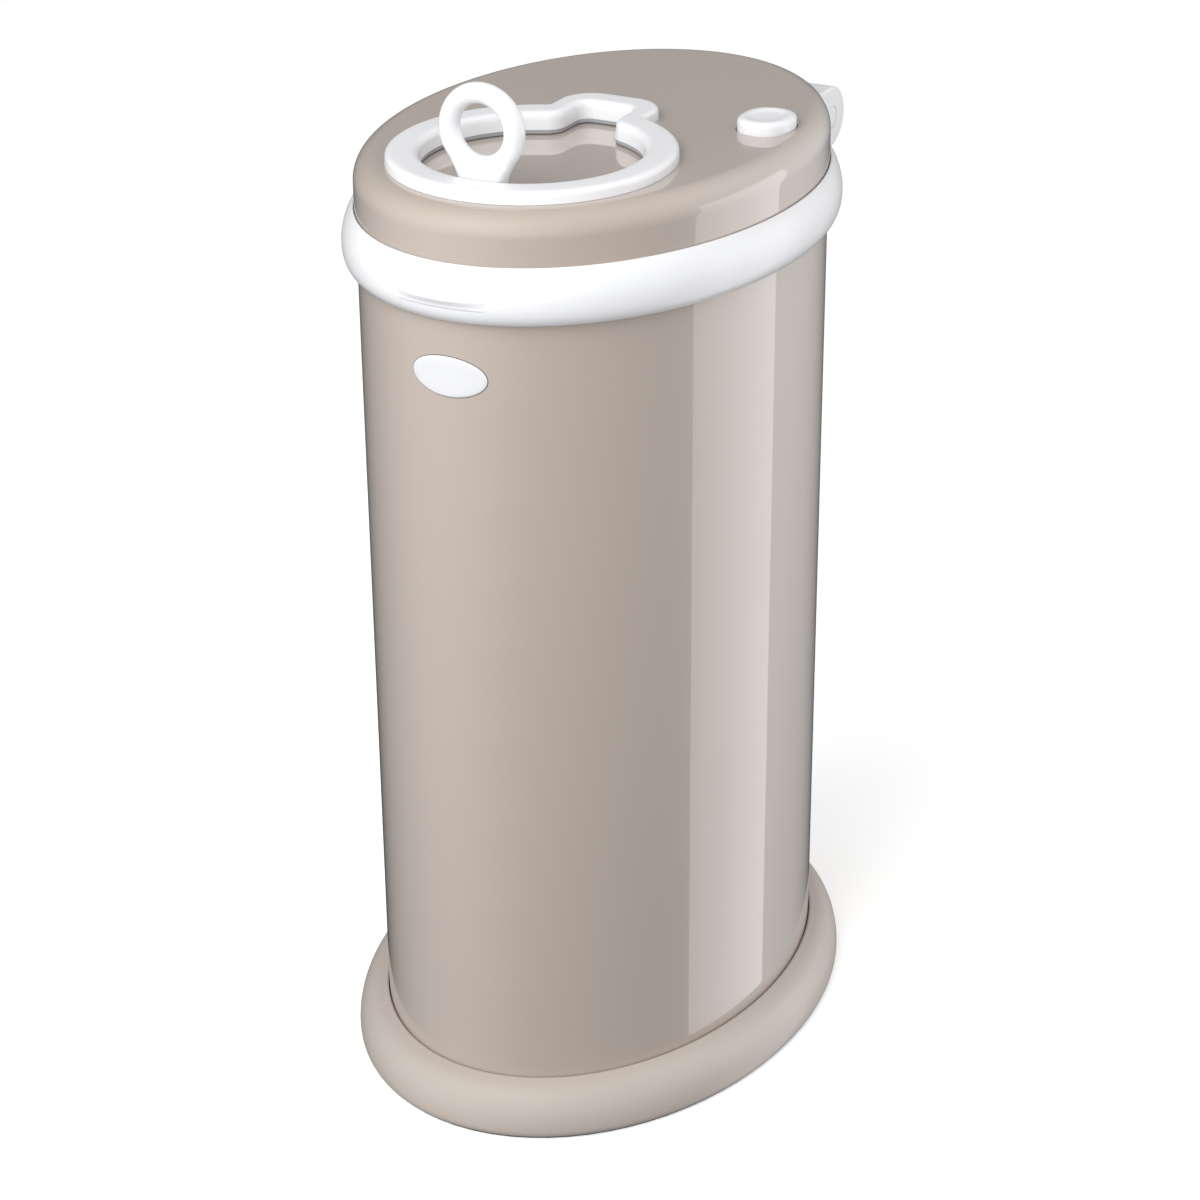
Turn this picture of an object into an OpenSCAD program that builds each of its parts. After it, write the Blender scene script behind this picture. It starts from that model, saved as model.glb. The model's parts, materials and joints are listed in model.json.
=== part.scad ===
// Oval pedal-free nappy bin: a steel tube on a moulded base, a hinged lid with a white band, and a
// sliding shutter with a ring handle under the lid's mouth. Millimetres, +Z up, the front towards -Y.
// The origin is on the floor, under the middle of the oval body.

/* [Body] */
// Outside length of the oval body, front to back
body_len = 326; // [300:1:360]
// Outside width of the oval body, side to side
body_wid = 234; // [222:1:270]
// Wall of the steel body tube
body_wall = 1; // [0.6:0.1:1.4]
// Height of the body's top edge above the floor
body_top = 484; // [300:1:650]

/* [Base] */
// Height of the moulded base, up to its seam with the body
base_h = 31; // [26:0.5:45]
// How far the base stands out past the body
base_out = 18.4; // [15:0.1:30]
// Height of the ledge that the body tube stands on
seat_z = 8; // [7:0.5:12]
// Wall of the base moulding
base_wall = 2.5; // [2:0.1:3]
// Width of the ledge under the floor panel
ledge_w = 12.5; // [10:0.5:20]
// Thickness of the floor panel
floor_t = 2.5; // [2:0.1:5]
// Thickness of the rubber foot ring
foot_t = 1.2; // [1:0.1:3]
// Width of the rubber foot ring
foot_w = 3.2; // [2:0.1:3.4]
// Number of screws that hold the floor panel
base_screw_n = 6; // [4:1:10]

/* [Collar] */
// Depth of the collar's plug inside the body tube
collar_depth = 38; // [30:1:60]
// Wall of the collar moulding
collar_wall = 2.2; // [1.6:0.1:3]
// Width of the collar's top flange, where the lid seal lands
collar_flange = 10.5; // [9:0.5:14]
// Depth of the step that holds the bag ring
bag_step = 10; // [8:0.5:16]
// Width of the ledge under the bag ring
bag_ledge = 12; // [8:0.5:16]
// Length of the bag ring's skirt, which clamps the bag
bag_skirt = 17; // [8:1:30]
// Thickness of the bag ring
bag_ring_t = 2.4; // [1.8:0.1:4]

/* [Label plate] */
// Length of the bare oval plate on the front
label_len = 44; // [20:1:70]
// Height of the bare oval plate
label_h = 22; // [12:1:40]
// Thickness of the plate
label_t = 0.9; // [0.6:0.1:2]
// How far the plate's middle lies below the body's top edge
label_drop = 30.3; // [20:0.1:60]

/* [Lid] */
// Height of the white band
band_h = 30.9; // [30:0.1:36]
// How far the band bulges past the body
band_out = 8; // [7:0.1:11]
// Wall of the band
band_wall = 2.4; // [1.8:0.1:2.6]
// Width of the band's inner flange, which the lid's underside is screwed to
band_flange = 16; // [15:0.5:20]
// Height of the steel cap that shows above the band, at its middle
cap_h = 29; // [28:0.1:45]
// Radius of the cap's top edge
cap_r = 13.5; // [8:0.5:20]
// Slope of the cap's top, down towards the front, in degrees
cap_lean = 0.6; // [0:0.1:1.5]
// Thickness of the steel cap
cap_t = 0.8; // [0.6:0.1:1.2]
// Thickness of the lid's underside panel
panel_t = 3; // [2:0.1:4]
// Width of the finger lip on the front of the band
lip_w = 52; // [30:1:70]
// How far the finger lip stands out past the band
lip_out = 3.2; // [1.5:0.1:5]
// Thickness of the finger lip
lip_t = 2.4; // [1.5:0.1:4]
// Number of screws that hold the lid's underside
lid_screw_n = 8; // [4:1:12]
// How far the lid opens, in degrees
lid_open = 95; // [60:1:100]

/* [Hinge] */
// Radius of the hinge barrel
barrel_r = 17.9; // [14:0.1:18]
// Half of the barrel's whole length
barrel_half = 59.5; // [45:0.5:64]
// Half of the length of the fixed middle knuckle
knuckle_half = 29.5; // [24:0.5:36]
// Distance of the hinge axis behind the body
axis_back = 12.5; // [11.5:0.1:16]
// Height of the hinge axis above the body's top edge
axis_up = 25; // [24:0.1:28]
// Radius of the steel hinge pin
pin_r = 4; // [3:0.1:5]
// Thickness of the bracket's plate behind the band
bracket_t = 6.5; // [4:0.5:9]

/* [Mouth] */
// Radius of the round part of the mouth
mouth_r = 58.5; // [57:0.5:62]
// Distance of the mouth's centre in front of the body's centre
mouth_fwd = 72; // [66:0.5:76]
// Length of the straight sides between the mouth's front and rear arcs
mouth_side = 1; // [1:0.5:8]
// Half of the width of the notch behind the mouth
notch_half = 16; // [16:0.5:22]
// How far the notch reaches behind the body's centre
notch_back = 13.5; // [13.5:0.5:26]
// Radius of the notch's rear corners
notch_r = 7.5; // [4:0.5:12]
// Radius of the fillets between the mouth and the notch
fillet_r = 8; // [6:0.5:14]
// Width of the rim round the mouth
rim_w = 18; // [14:0.5:19]
// How much wider the rim is at its front
rim_front = 0.5; // [0:0.5:3]
// Width of the rim beside the notch
notch_rim_w = 13; // [8:0.5:14]
// Width of the rim behind the notch
notch_rim_back = 17.5; // [8:0.5:20]
// How far the rim stands above the cap
rim_up = 6.7; // [4:0.1:9]
// How far the rim's wall reaches below the cap's top
rim_down = 3.4; // [3:0.1:6]
// Wall of the rim's skirt
rim_wall = 2.8; // [2:0.1:3.2]

/* [Shutter] */
// Travel of the shutter, front to back
travel = 125; // [90:1:127]
// How far the shutter lies below the rim's wall
skin_down = 7.5; // [6.5:0.5:10]
// Overlap of the shutter past the mouth's edge
overlap = 4.5; // [3:0.1:6]
// How far the shutter's runners stand out past the mouth
runner_out = 9.5; // [8.5:0.1:10.5]
// Thickness of the shutter's painted steel skin
skin_t = 1; // [0.6:0.1:1.5]
// Thickness of the shutter's moulded carrier
carrier_t = 5; // [4:0.1:6]
// Length of the shutter's straight runners
runner_len = 86; // [60:1:90]
// Wall of the slide rails
rail_wall = 2.6; // [2:0.1:3]

/* [Ring handle] */
// Outside diameter of the ring
ring_d = 48.8; // [40:0.2:60]
// Thickness of the ring
ring_t = 12; // [9:0.1:13]
// Height of the ring's centre above the shutter
ring_up = 39.1; // [38:0.1:50]
// Width of the ring's stem
stem_w = 28; // [24:0.5:28.5]
// Distance of the handle in front of the body's centre
ring_fwd = 121; // [112:0.5:122]

/* [Lock button] */
// Width of the button, side to side
button_w = 33; // [24:0.5:36]
// Length of the button, front to back
button_len = 35; // [28:0.5:44]
// How far the button stands above the cap
button_up = 5.6; // [4:0.1:8]
// Travel of the button
button_travel = 3; // [1.5:0.1:4]
// Distance of the button's middle outside the runners
button_out = 18.6; // [18.4:0.1:20]
// Distance of the button behind the body's middle
button_y = 31; // [10:0.5:40]
// Radius of the plunger under the button
plunger_r = 4; // [3:0.1:5]
// Diameter of the spring's wire
wire_d = 1.2; // [0.8:0.1:1.6]
// Turns of the spring
spring_turns = 6; // [4:1:9]

/* [Hidden] */

paint = [0.72, 0.67, 0.61];
base_paint = [0.80, 0.76, 0.71];
white = [0.95, 0.95, 0.96];
grey = [0.45, 0.46, 0.48];
steel = [0.75, 0.75, 0.77];

runner_half = mouth_r + runner_out;
button_x = runner_half + button_out;
half_wid = body_wid / 2;
half_len = body_len / 2;
seam = 0.3;             // gap between moulded pieces of one body
slack = 0.5;            // gap between pieces that move past each other
oval_n = 80;            // sides of every oval outline
bore_fn = 64;
cut = 1;                // how far a cutting solid runs past the face that it cuts

// Base: the moulding stands on the foot ring.
base_z = foot_t;
foot_mid = base_out - 4.2;

// Collar, from the body tube inwards.
plug_out = -body_wall - seam;
flange_in = plug_out - collar_flange;
step_z = body_top - bag_step;
ledge_in = flange_in - collar_wall - bag_ledge;
bag_z = step_z + collar_wall + seam / 3;

// Lid levels: the lid parts from the body just above its top edge.
lid_z = body_top + slack;
flange_z = lid_z + 2.9;
flange_t = 2.4;
shelf_z = lid_z + band_h - 6.9;
panel_z = flange_z + flange_t;
cap_top = lid_z + band_h + cap_h;
cap_out = 0.5;
lip_in = cap_out + seam;
axis_y = half_len + axis_back;
axis_z = body_top + axis_up;

// Shutter levels, from the mouth's wall downwards.
skin_top = cap_top - rim_down - skin_down;
carrier_top = skin_top - skin_t;
carrier_z = carrier_top - carrier_t;
rail_z = carrier_z - slack - rail_wall;
runner_front = -mouth_fwd - runner_len / 3;

// Levels of the button's guide and spring.
button_seat = cap_top + lean(button_y);
button_foot = button_seat - 4.5;
guide_top = button_foot - 24;
coil_r = plunger_r + 1 + wire_d;

screw_r = 1.7;
screw_head_r = 3.2;
screw_head_t = 1.6;

// ---- outlines and swept shapes ----

// Points of the body's oval, moved outwards along its normals by off.
function oval(off) = [
    for (i = [0 : oval_n - 1])
        let (a = 360 * i / oval_n, n = [half_len * cos(a), half_wid * sin(a)])
            [half_wid * cos(a), half_len * sin(a)] + off * n / norm(n)
];

// One point of the same oval at angle a.
function oval_at(a, off) =
    let (n = [half_len * cos(a), half_wid * sin(a)])
        [half_wid * cos(a), half_len * sin(a)] + off * n / norm(n);

function mirrored(half) = [for (i = [len(half) - 1 : -1 : 1]) [-half[i].x, half[i].y]];

// A mouth of radius r, its front arc moved forward by front, with a notch behind it: half width w, rear
// edge yr, corner radius rc and fillets rf between the two. The points run from the front to the right.
function keyhole(r, w, yr, rf, rc, front = 0) =
    let (
        cf = -mouth_fwd - front,
        cy = -mouth_fwd + mouth_side,
        f = [w + rf, cy + sqrt(pow(r + rf, 2) - pow(w + rf, 2))],
        a = atan2(f.y - cy, f.x),
        bow = [for (i = [0 : 16]) let (t = 90 * i / 16 - 90) [r * cos(t), cf + r * sin(t)]],
        side = [for (i = [0 : 9]) let (t = a * i / 9) [r * cos(t), cy + r * sin(t)]],
        fillet = [for (i = [1 : 5]) let (t = a + 180 - a * i / 5) f + rf * [cos(t), sin(t)]],
        corner = [for (i = [0 : 6]) let (t = 15 * i) [w - rc + rc * cos(t), yr - rc + rc * sin(t)]],
        half = concat(bow, side, fillet, corner)
    )
    concat(half, mirrored(half));

// The mouth's outline, moved outwards by off.
function mouth(off) =
    keyhole(mouth_r + off, notch_half + off, notch_back + off, max(1, fillet_r - off), notch_r + off);

// The rim's outline, from the mouth (s = 0) to the rim's outer edge (s = 1).
function rim_line(s) =
    let (
        inner = mouth(0),
        outer = keyhole(mouth_r + rim_w, notch_half + notch_rim_w, notch_back + notch_rim_back, 3,
                        notch_r + notch_rim_w / 2, rim_front)
    )
    [for (i = [0 : len(inner) - 1]) inner[i] * (1 - s) + outer[i] * s];

// How far the cap's sloping top has risen above its middle, y behind it.
function lean(y) = y * tan(cap_lean);

// How far the cap's rounded edge has dropped below its flat top at the point p.
function cap_drop(p) =
    let (
        e = norm([p.x / (half_wid + cap_out - cap_r), p.y / (half_len + cap_out - cap_r)]),
        d = norm(p) * max(0, 1 - 1 / e)
    )
    cap_r - sqrt(pow(cap_r, 2) - pow(min(d, cap_r), 2));

// Outline of the lock button, drawn in by inset all round.
function button_line(inset) = [
    for (i = [0 : 47])
        let (a = 7.5 * i, c = cos(a), s = sin(a))
            [button_x + (button_w / 2 - inset) * sign(c) * pow(abs(c), 0.8),
             button_y + (button_len / 2 - inset) * sign(s) * pow(abs(s), 0.8)]
];

// An outline laid at height z, or along the cap's slope through that height.
function at_z(outline, z) = [for (p = outline) [p.x, p.y, z]];
function sloped(outline, z) = [for (p = outline) [p.x, p.y, z + lean(p.y)]];

// Joins rings of points, bottom ring first, into a closed tube whose last ring meets the first: a solid
// ring with a hole through it.
module tube_of(rings) {
    n = len(rings[0]);
    m = len(rings);
    faces = [
        for (j = [0 : m - 1]) for (i = [0 : n - 1])
            let (a = j * n + i, b = j * n + (i + 1) % n, k = (j + 1) % m, c = k * n + i, d = k * n + (i + 1) % n)
                each [[a, c, b], [b, c, d]]
    ];
    polyhedron([for (r = rings) each r], faces);
}

// Joins rings of points into a solid closed by its first and last outlines.
module stack_of(rings) {
    n = len(rings[0]);
    m = len(rings);
    side = [
        for (j = [0 : m - 2]) for (i = [0 : n - 1])
            let (a = j * n + i, b = j * n + (i + 1) % n, c = a + n, d = b + n)
                each [[a, c, b], [b, c, d]]
    ];
    foot = [for (i = [0 : n - 1]) i];
    head = [for (i = [n - 1 : -1 : 0]) (m - 1) * n + i];
    polyhedron([for (r = rings) each r], concat(side, [foot, head]));
}

module oval_prism(off, z0, z1)
    translate([0, 0, z0]) linear_extrude(z1 - z0) polygon(oval(off));

// An upright ring between two outlines of the oval.
module oval_ring(inner, outer, z0, z1)
    translate([0, 0, z0]) linear_extrude(z1 - z0) difference() {
        polygon(oval(outer));
        polygon(oval(inner));
    }

// A profile of [offset, z] points carried round the oval.
module oval_sweep(profile) tube_of([for (p = profile) at_z(oval(p.x), p.y)]);

// A cylinder along X between two stations.
module rod_x(r, x0, x1, y, z)
    translate([x0, y, z]) rotate([0, 90, 0]) cylinder(h = x1 - x0, r = r, $fn = bore_fn);

// A cylinder along Y between two stations.
module rod_y(r, x, y0, y1, z)
    translate([x, y1, z]) rotate([90, 0, 0]) cylinder(h = y1 - y0, r = r, $fn = bore_fn);

module rod_z(r, x, y, z0, z1) translate([x, y, z0]) cylinder(h = z1 - z0, r = r, $fn = bore_fn);

// A screw pointing up, its head's foot at z.
module screw_up(x, y, z, length) {
    rod_z(screw_head_r, x, y, z, z + screw_head_t);
    rod_z(screw_r, x, y, z + screw_head_t, z + screw_head_t + length);
}

// ---- base ----

base_screw_off = -3.5 - ledge_w / 2;
base_screw_at = [for (i = [0 : base_screw_n - 1]) oval_at(360 * (i + 0.5) / base_screw_n, base_screw_off)];

module base_ring() color(base_paint) {
    s = base_out;
    h = base_h;
    w = base_wall;
    skin = [
        [seam, h - 0.6], [seam + 0.5, h], [1.8, h], [0.19 * s, h - 0.7], [0.39 * s, h - 2.2],
        [0.6 * s, h - 5], [0.78 * s, h - 9.4], [0.915 * s, h - 14.8], [0.985 * s, h - 20.6],
        [s, seat_z - 2], [s - 0.5, base_z + 1.6], [s - 2.2, base_z]
    ];
    inside = [
        [s - 6.4, base_z], [s - 6.4, base_z + 2.2], [s - w - 0.5, seat_z - 1.4], [0.985 * s - w, h - 20.6],
        [0.915 * s - w - 0.3, h - 15.6], [0.78 * s - w, h - 11.4], [0.6 * s - w + 0.4, h - 7.9],
        [0.39 * s - 1.4, h - 5], [seam + w, h - 3.8]
    ];
    seat = [
        [seam + w, seat_z - w], [-3.5 - ledge_w, seat_z - w], [-3.5 - ledge_w, seat_z],
        [-3.5, seat_z], [-3.5, seat_z + 12], [plug_out, seat_z + 12], [plug_out, seat_z], [seam, seat_z]
    ];
    difference() {
        oval_sweep(concat(skin, inside, seat));
        for (p = base_screw_at) rod_z(screw_r + 0.1, p.x, p.y, seat_z - w - cut, seat_z + cut);
    }
}

module base_floor() color(base_paint) difference() {
    oval_prism(-3.5 - seam, seat_z, seat_z + floor_t);
    for (p = base_screw_at) rod_z(screw_r + 0.02, p.x, p.y, seat_z - cut, seat_z + floor_t - 0.6);
}

module foot_ring() color(grey) oval_ring(foot_mid - foot_w / 2, foot_mid + foot_w / 2, 0, foot_t);

module base_screws() color(steel)
    for (p = base_screw_at)
        screw_up(p.x, p.y, seat_z - base_wall - screw_head_t, base_wall + floor_t - 0.8);

// ---- body ----

bracket_foot = body_top - collar_depth;
hinge_screw_x = 18;
hinge_screw_r = 2;
bracket_back = axis_y - 2.8 + bracket_t;
hinge_screw_z = [bracket_foot + 10, body_top - 12];

module at_hinge_screws()
    for (x = [-hinge_screw_x, hinge_screw_x]) for (z = hinge_screw_z) translate([x, 0, z]) children();

module body_shell() color(paint) difference() {
    oval_ring(-body_wall, 0, seat_z, body_top);
    at_hinge_screws() rod_y(hinge_screw_r + 0.1, 0, half_len * 0.8, half_len + cut, 0);
}

module label_plate() color(white) intersection() {
    z = body_top - label_drop;
    oval_ring(0.05, 0.05 + label_t, z - label_h, z + label_h);
    translate([0, 0, z]) rotate([90, 0, 0]) linear_extrude(2 * half_len)
        polygon([for (a = [0 : 7.5 : 352.5]) [label_len / 2 * cos(a), label_h / 2 * sin(a)]]);
}

module top_collar() color(white) difference() {
    union() {
        oval_ring(plug_out - collar_wall, plug_out, bracket_foot, body_top);
        oval_ring(flange_in - collar_wall, plug_out - collar_wall / 2, body_top - collar_wall, body_top);
        oval_ring(flange_in - collar_wall, flange_in, step_z, body_top - collar_wall / 2);
        oval_ring(ledge_in, flange_in - collar_wall / 2, step_z, step_z + collar_wall);
        intersection() {
            oval_prism(plug_out - collar_wall / 2, bracket_foot, body_top);
            at_hinge_screws() rod_y(5, 0, half_len - 12, half_len, 0);
        }
    }
    at_hinge_screws() rod_y(hinge_screw_r + 0.02, 0, half_len - 10, half_len, 0);
}

module bag_ring() color(white) {
    skirt = ledge_in - seam;
    oval_ring(skirt - 2, flange_in - collar_wall - seam, bag_z, bag_z + bag_ring_t);
    oval_ring(skirt - 2, skirt, bag_z + bag_ring_t - bag_skirt, bag_z + bag_ring_t / 2);
}

// ---- hinge ----

module hinge_bracket() color(white) difference() {
    union() {
        rod_x(barrel_r, -knuckle_half, knuckle_half, axis_y, axis_z);
        translate([-knuckle_half, bracket_back - bracket_t, bracket_foot])
            cube([2 * knuckle_half, bracket_t, axis_z - bracket_foot]);
        difference() {
            translate([-knuckle_half, half_len * 0.8, bracket_foot])
                cube([2 * knuckle_half, bracket_back - half_len * 0.8, body_top - bracket_foot]);
            oval_prism(0.1, bracket_foot - cut, body_top + cut);
        }
    }
    rod_x(pin_r + 0.02, -knuckle_half - cut, knuckle_half + cut, axis_y, axis_z);
    at_hinge_screws() {
        rod_y(hinge_screw_r + 0.1, 0, half_len * 0.8, bracket_back + cut, 0);
        rod_y(screw_head_r + 1, 0, bracket_back - 2, bracket_back + cut, 0);
    }
}

module hinge_screws() color(steel) at_hinge_screws() {
    rod_y(screw_head_r + 0.8, 0, bracket_back - 2, bracket_back - 0.4, 0);
    rod_y(hinge_screw_r, 0, half_len - 9, bracket_back - 2, 0);
}

pin_end = barrel_half - 4.5;

module hinge_pin() color(steel) rod_x(pin_r, -pin_end + 0.5, pin_end - 0.5, axis_y, axis_z);

// The barrel with a block that runs forward from it to the cap, between two stations along X.
module hinge_block(x0, x1, grow) difference() {
    r = barrel_r + grow;
    union() {
        rod_x(r, x0, x1, axis_y, axis_z);
        translate([x0, half_len * 0.7, axis_z - r]) cube([x1 - x0, axis_y - half_len * 0.7, 2 * r]);
    }
    oval_prism(lip_in - grow, axis_z - 2 * barrel_r, axis_z + 2 * barrel_r);
}

module hinge_arm() color(white) difference() {
    hinge_block(knuckle_half + slack, barrel_half, 0);
    rod_x(pin_r + 0.05, 0, pin_end + 0.2, axis_y, axis_z);
    rod_x(6.6, pin_end, barrel_half + cut, axis_y, axis_z);
}

module left_hinge_arm() mirror([1, 0, 0]) hinge_arm();

module right_hinge_arm() hinge_arm();

module pin_cap() color(white) rod_x(6.5, pin_end, barrel_half, axis_y, axis_z);

module left_pin_cap() mirror([1, 0, 0]) pin_cap();

module right_pin_cap() pin_cap();

// Room in the lid for the fixed middle knuckle.
module knuckle_room()
    rod_x(barrel_r + slack, -knuckle_half - slack, knuckle_half + slack, axis_y, axis_z);

// ---- lid ----

lid_screw_at = [for (i = [0 : lid_screw_n - 1]) oval_at(360 * (i + 0.5) / lid_screw_n, 3.4 - band_flange)];
lip_z = lid_z + 14;

module band_ring() {
    b = band_out;
    w = band_wall;
    h = band_h;
    skin = [
        [1.2, 0], [0.4 * b, 0.7], [0.64 * b, 2.3], [0.84 * b, 4.9], [0.96 * b, 8.2], [b, 12],
        [0.975 * b, 16], [0.875 * b, 20], [0.71 * b, h - 6.9], [0.51 * b, h - 3.5], [0.32 * b, h - 1.1],
        [lip_in + 0.9, h], [lip_in, h], [lip_in, h - 6.9], [-2.2, h - 6.9], [-2.2, h - 9.3]
    ];
    inside = [
        [0.85 * b - w, h - 9.3], [0.96 * b - w, 16.5], [b - w, 12], [0.95 * b - w, 8.6], [0.7 * b - w, 5.3],
        [-band_flange, 5.3], [-band_flange, 2.9], [-3, 2.9], [-3, 0]
    ];
    translate([0, 0, lid_z]) oval_sweep(concat(skin, inside));
}

// The finger lip: a crescent that grows out of the band's front.
module finger_lip() translate([0, 0, lip_z]) linear_extrude(lip_t) difference() {
    root = half_len + band_out - band_wall / 2;
    polygon(concat(
        [[lip_w / 2, -half_len * 0.9]],
        [for (i = [0 : 24]) let (x = lip_w * (0.5 - i / 24))
            [x, -root * sqrt(1 - pow(x / (half_wid + band_out), 2))
                - (lip_out + band_wall / 2) * pow(cos(180 * x / lip_w), 0.7)]],
        [[-lip_w / 2, -half_len * 0.9]]
    ));
    polygon(oval(band_out - band_wall));
}

module lid_band() color(white) difference() {
    union() {
        band_ring();
        finger_lip();
    }
    for (p = lid_screw_at) rod_z(screw_r + 0.1, p.x, p.y, flange_z - cut, panel_z + cut);
    hinge_block(knuckle_half + slack - 0.1, barrel_half + 0.1, 0.1);
    mirror([1, 0, 0]) hinge_block(knuckle_half + slack - 0.1, barrel_half + 0.1, 0.1);
    knuckle_room();
}

// The cap's outside, or its inside when drawn in by t.
function cap_rings(t) = concat(
    [at_z(oval(cap_out - t), shelf_z + 0.1 - (t > 0 ? cut : 0))],
    [for (a = [0 : 15 : 90])
        sloped(oval(cap_out - cap_r + (cap_r - t) * cos(a)), cap_top - cap_r + (cap_r - t) * sin(a))]
);

module lid_cap() color(paint) difference() {
    stack_of(cap_rings(0));
    stack_of(cap_rings(cap_t));
    translate([0, 0, cap_top - cap_r / 2]) linear_extrude(cap_r) {
        polygon(rim_line(0.35));
        polygon(button_line(-0.6));
    }
    knuckle_room();
}

module lid_seal() color(grey) oval_ring(-9.4, -3.6, body_top + seam, flange_z);

module lid_screws() color(steel)
    for (p = lid_screw_at) screw_up(p.x, p.y, flange_z - screw_head_t, flange_t + panel_t - 0.8);

rail_mid = runner_half + slack + rail_wall / 2;
beam_front = runner_front - rail_wall - slack;
beam_back = runner_front + runner_len + travel + slack + rail_wall;

module lid_underside() color(white) difference() {
    union() {
        oval_prism(-3.5, panel_z, panel_z + panel_t);
        translate([0, 0, panel_z]) linear_extrude(rail_z - seam - panel_z) polygon(mouth(rim_wall));
        for (x = [-rail_mid, rail_mid])
            translate([x - rail_wall, beam_front, panel_z])
                cube([2 * rail_wall, beam_back - beam_front, rail_z - panel_z]);
    }
    translate([0, 0, panel_z - cut]) linear_extrude(rail_z - panel_z + 2 * cut) polygon(mouth(0));
    for (p = lid_screw_at) rod_z(screw_r + 0.02, p.x, p.y, panel_z - cut, panel_z + panel_t - 0.6);
}

// ---- mouth ----

// The rim's section runs outwards under the rim, where it lies on the cap, and back over it to the mouth.
module aperture_rim() color(white) {
    u = rim_up;
    lie = 0.06;
    edge = rim_wall / rim_w;
    section = [
        [edge, lie], [0.66, lie], [0.85, lie], [1, lie], [0.995, 0.5 * u], [0.975, 0.78 * u],
        [0.93, 0.92 * u], [0.86, 0.985 * u], [0.58, u], [0.33, 0.985 * u], [0.228, 0.87 * u],
        [0.13, 0.63 * u], [0.06, 0.34 * u], [0.02, 0]
    ];
    foot = cap_top - rim_down;
    tube_of(concat(
        [at_z(rim_line(0), foot), at_z(rim_line(edge), foot)],
        [for (q = section) [for (p = rim_line(q.x)) [p.x, p.y, cap_top + lean(p.y) + q.y - cap_drop(p)]]]
    ));
}

module aperture_gasket() color(grey)
    translate([0, 0, skin_top + slack]) linear_extrude(cap_top - rim_down - skin_top - slack) difference() {
        polygon(rim_line(rim_wall / rim_w));
        polygon(rim_line(0));
    }

// ---- shutter ----

// A C-shaped channel for one runner, closed at both ends.
module slide_rail() color(white) difference() {
    translate([runner_half - 6, beam_front, rail_z])
        cube([6 + slack + rail_wall, beam_back - beam_front, carrier_top + slack + rail_wall - rail_z]);
    translate([runner_half - 6 - cut, beam_front + rail_wall, carrier_z - slack])
        cube([6 + slack + cut, beam_back - beam_front - 2 * rail_wall, carrier_t + 2 * slack]);
    translate([runner_half - 6 - cut, beam_front - cut, carrier_top])
        cube([6 - 2.4 + cut, beam_back - beam_front + 2 * cut, 2 * rail_wall]);
    translate([0, 0, carrier_top]) linear_extrude(4 * rail_wall) polygon(mouth(rim_wall + slack));
}

module left_slide_rail() mirror([1, 0, 0]) slide_rail();

module right_slide_rail() slide_rail();

handle_screw_x = stem_w / 2 - 7;

module at_handle_screws(r, z0, z1)
    for (x = [-handle_screw_x, handle_screw_x]) rod_z(r, x, -ring_fwd, z0, z1);

module slide_skin() color(paint) translate([0, 0, carrier_top]) linear_extrude(skin_t) difference() {
    polygon(mouth(overlap));
    for (x = [-handle_screw_x, handle_screw_x])
        translate([x, -ring_fwd]) circle(screw_r + 0.1, $fn = bore_fn);
}

module slide_carrier() color(white) difference() {
    union() {
        translate([0, 0, carrier_z]) linear_extrude(carrier_t) polygon(mouth(overlap));
        translate([-runner_half, runner_front, carrier_z]) cube([2 * runner_half, runner_len, carrier_t]);
    }
    at_handle_screws(screw_r + 0.1, carrier_z - cut, carrier_top + cut);
    at_handle_screws(screw_head_r + 0.2, carrier_z - cut, carrier_z + screw_head_t + 0.2);
}

module ring_handle() color(white) translate([0, -ring_fwd, skin_top]) difference() {
    union() {
        translate([0, 0, ring_up]) rotate([90, 0, 0])
            rotate_extrude($fn = bore_fn) translate([tube_mid, 0]) circle(tube_r, $fn = bore_fn);
        stack_of([for (p = [
            [stem_w / 2, 0], [stem_w / 2 + 0.2, ring_up - tube_mid - 10],
            [stem_w / 2 + 0.6, ring_up - tube_mid - 6], [stem_w / 2 + 1.6, ring_up - tube_mid - 2.6],
            [stem_w / 2 + 2.6, ring_up - tube_mid], [stem_w / 2 + 3.6, ring_up - tube_mid + 2.4],
            [stem_w / 2 + 4.4, ring_up - tube_mid + 4.4]
        ]) at_z(stadium(p.x, stem_thick(p.y - ring_up + tube_mid)), p.y)]);
    }
    for (x = [-handle_screw_x, handle_screw_x]) rod_z(screw_r + 0.02, x, 0, -cut, 12);
}

tube_r = ring_t / 2;
tube_mid = (ring_d - ring_t) / 2;

// Half thickness of the stem, dz above the middle of the ring's lowest part: it follows the ring's tube.
function stem_thick(dz) = sqrt(pow(tube_r, 2) - pow(max(0, dz), 2)) - 0.05;

// An oblong with round ends, half length w and half width t.
function stadium(w, t) = [
    for (side = [0, 1]) for (i = [0 : 12])
        let (a = 180 * side - 90 + 15 * i) [(w - t) * (1 - 2 * side) + t * cos(a), t * sin(a)]
];

module handle_screws() color(steel)
    for (x = [-handle_screw_x, handle_screw_x]) screw_up(x, -ring_fwd, carrier_z + 0.2, carrier_t + skin_t + 9);

// ---- lock button ----

module lock_button() color(white) {
    u = button_up;
    stack_of([for (p = [
        [-1.8, -4.5], [-1.8, -2], [0, -2], [0, 0.62 * u], [0.7, 0.84 * u], [2.2, 0.96 * u], [5, u],
        [6.6, u - 0.5]
    ]) at_z(button_line(p.x), button_seat + p.y)]);
}

module lock_plunger() color(grey)
    rod_z(plunger_r, button_x, button_y, panel_z + panel_t + button_travel + 4, button_foot);

module button_guide() color(white) difference() {
    union() {
        rod_z(coil_r + 3, button_x, button_y, panel_z + panel_t, guide_top);
        rod_z(coil_r + 5, button_x, button_y, panel_z + panel_t, panel_z + panel_t + 2.5);
    }
    rod_z(plunger_r + seam, button_x, button_y, panel_z, guide_top + cut);
}

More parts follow.
